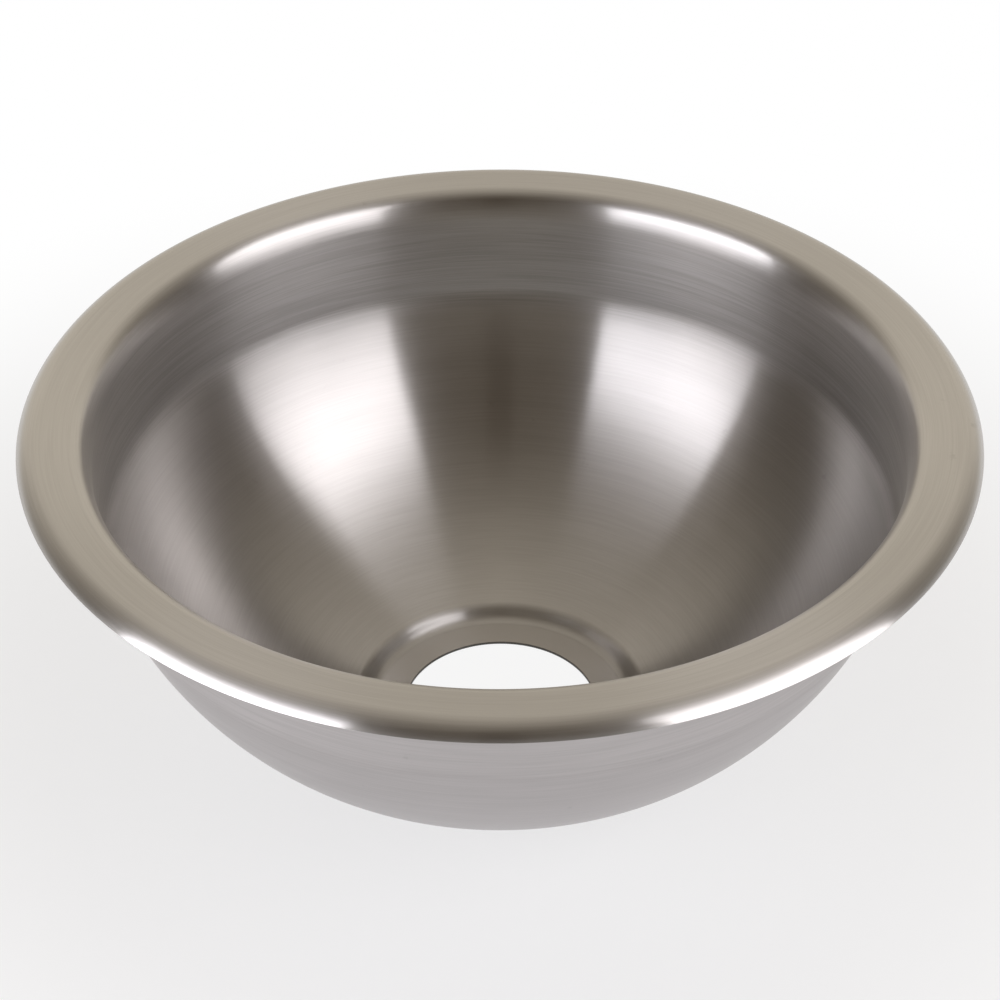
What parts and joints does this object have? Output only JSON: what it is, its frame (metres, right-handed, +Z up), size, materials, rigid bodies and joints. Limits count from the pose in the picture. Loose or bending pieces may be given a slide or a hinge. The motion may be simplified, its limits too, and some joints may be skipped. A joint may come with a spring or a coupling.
{
  "type": "drop-in sink",
  "caption": "Round drop-in stainless sink drawn from one sheet: flat flange with a rolled edge, straight collar, domed bowl, recessed outlet seat, rim gasket and swing-out hold-down clamps",
  "frame": {"origin": "middle of the outlet, on the underside of the sheet at the outlet seat", "axes": "+Z up along the bowl's axis; -Y is the side that faces the viewer; +X to the viewer's right"},
  "size_m": [0.42, 0.4198, 0.1684],
  "materials": {
    "stainless": "brushed round the axis",
    "stainless_stud": "rolled thread",
    "zinc_strap": "zinc plated",
    "zinc_fastener": "zinc plated",
    "gasket": "closed-cell foam"
  },
  "bodies": {
    "sink": {"bowl": "stainless", "rim_gasket": "gasket", "weld_studs": "stainless_stud"},
    "washer_1": {"washer_1": "zinc_fastener"},
    "clamp_1": {"clamp_1": "zinc_strap"},
    "hex_nut_1": {"hex_nut_1": "zinc_fastener"},
    "washer_2": {"washer_2": "zinc_fastener"},
    "clamp_2": {"clamp_2": "zinc_strap"},
    "hex_nut_2": {"hex_nut_2": "zinc_fastener"},
    "washer_3": {"washer_3": "zinc_fastener"},
    "clamp_3": {"clamp_3": "zinc_strap"},
    "hex_nut_3": {"hex_nut_3": "zinc_fastener"},
    "washer_4": {"washer_4": "zinc_fastener"},
    "clamp_4": {"clamp_4": "zinc_strap"},
    "hex_nut_4": {"hex_nut_4": "zinc_fastener"}
  },
  "joints": [
    {"name": "clamp_1_lowering", "type": "slide", "parent": "sink", "child": "washer_1", "axis": [0, 0, -1], "range_m": [0, 0.008]},
    {"name": "clamp_1_swing", "type": "hinge", "parent": "washer_1", "child": "clamp_1", "pos_m": [0.13541, 0.13541, 0.1589], "axis": [0, 0, -1], "range_deg": [0, 90]},
    {"name": "nut_1_turn", "type": "hinge", "parent": "washer_1", "child": "hex_nut_1", "pos_m": [0.13541, 0.13541, 0.1589], "axis": [0, 0, -1], "range_deg": [0, 3600]},
    {"name": "clamp_2_lowering", "type": "slide", "parent": "sink", "child": "washer_2", "axis": [0, 0, -1], "range_m": [0, 0.008]},
    {"name": "clamp_2_swing", "type": "hinge", "parent": "washer_2", "child": "clamp_2", "pos_m": [-0.13541, 0.13541, 0.1589], "axis": [0, 0, -1], "range_deg": [0, 90]},
    {"name": "nut_2_turn", "type": "hinge", "parent": "washer_2", "child": "hex_nut_2", "pos_m": [-0.13541, 0.13541, 0.1589], "axis": [0, 0, -1], "range_deg": [0, 3600]},
    {"name": "clamp_3_lowering", "type": "slide", "parent": "sink", "child": "washer_3", "axis": [0, 0, -1], "range_m": [0, 0.008]},
    {"name": "clamp_3_swing", "type": "hinge", "parent": "washer_3", "child": "clamp_3", "pos_m": [-0.13541, -0.13541, 0.1589], "axis": [0, 0, -1], "range_deg": [0, 90]},
    {"name": "nut_3_turn", "type": "hinge", "parent": "washer_3", "child": "hex_nut_3", "pos_m": [-0.13541, -0.13541, 0.1589], "axis": [0, 0, -1], "range_deg": [0, 3600]},
    {"name": "clamp_4_lowering", "type": "slide", "parent": "sink", "child": "washer_4", "axis": [0, 0, -1], "range_m": [0, 0.008]},
    {"name": "clamp_4_swing", "type": "hinge", "parent": "washer_4", "child": "clamp_4", "pos_m": [0.13541, -0.13541, 0.1589], "axis": [0, 0, -1], "range_deg": [0, 90]},
    {"name": "nut_4_turn", "type": "hinge", "parent": "washer_4", "child": "hex_nut_4", "pos_m": [0.13541, -0.13541, 0.1589], "axis": [0, 0, -1], "range_deg": [0, 3600]}
  ],
  "couplings": [
    {"joint": "nut_1_turn", "follows": "clamp_1_lowering", "rad_per_m": 7854},
    {"joint": "nut_2_turn", "follows": "clamp_2_lowering", "rad_per_m": 7854},
    {"joint": "nut_3_turn", "follows": "clamp_3_lowering", "rad_per_m": 7854},
    {"joint": "nut_4_turn", "follows": "clamp_4_lowering", "rad_per_m": 7854}
  ]
}
